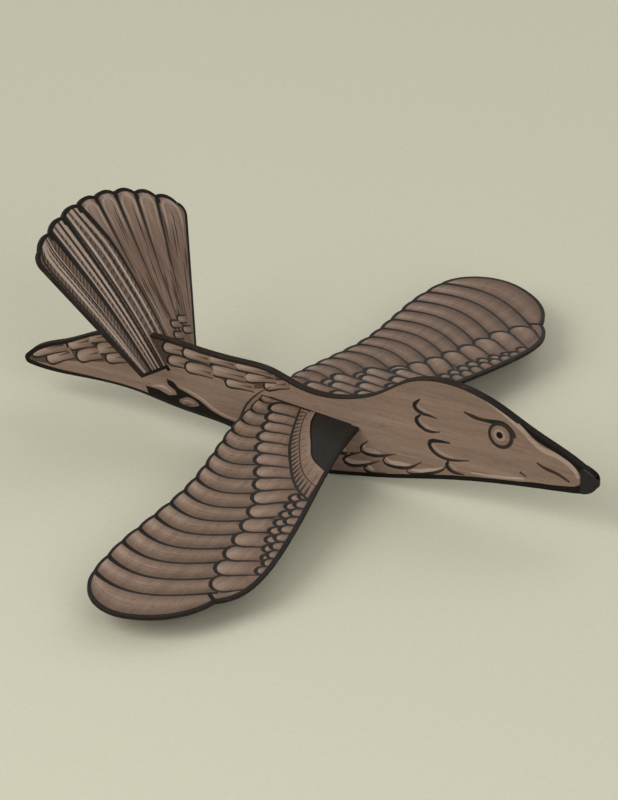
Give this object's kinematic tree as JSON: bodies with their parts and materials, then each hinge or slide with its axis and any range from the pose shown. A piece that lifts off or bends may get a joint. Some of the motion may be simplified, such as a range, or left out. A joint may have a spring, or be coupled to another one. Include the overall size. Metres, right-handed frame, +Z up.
{
  "type": "balsa hand glider",
  "caption": "Bird-shaped slot-together balsa hand glider: flat profile body, two plug-in wings, fan tail in an inclined slot and a folded steel nose clip.",
  "frame": {"origin": "under the middle of the glider, at the height of the flat of the belly", "axes": "+X towards the beak, +Y to the bird's left wing, +Z up"},
  "size_m": [0.2794, 0.3476, 0.0977],
  "materials": {
    "balsa_body": "printed brown stain, dull",
    "balsa_wing": "printed brown stain, dull",
    "balsa_tail": "printed brown stain, dull",
    "black_steel": "black enamel, satin"
  },
  "bodies": {
    "body": {"fuselage": "balsa_body"},
    "left_wing": {"wing_left": "balsa_wing"},
    "right_wing": {"wing_right": "balsa_wing"},
    "tail": {"tail_fan": "balsa_tail"},
    "nose_clip": {"nose_weight": "black_steel"}
  },
  "joints": [
    {"name": "left_wing_pull", "type": "slide", "parent": "body", "child": "left_wing", "axis": [-0.0071, 0.996, -0.0886], "range_m": [0, 0.012]},
    {"name": "right_wing_pull", "type": "slide", "parent": "body", "child": "right_wing", "axis": [-0.0071, -0.996, -0.0886], "range_m": [0, 0.012]},
    {"name": "tail_tilt", "type": "hinge", "parent": "body", "child": "tail", "pos_m": [-0.0694, 0, 0.0321], "axis": [0.809, 0, 0.5878], "range_deg": [-3.4, 26.6]},
    {"name": "nose_clip_pull", "type": "slide", "parent": "body", "child": "nose_clip", "axis": [1, 0, 0], "range_m": [0, 0.012]}
  ]
}
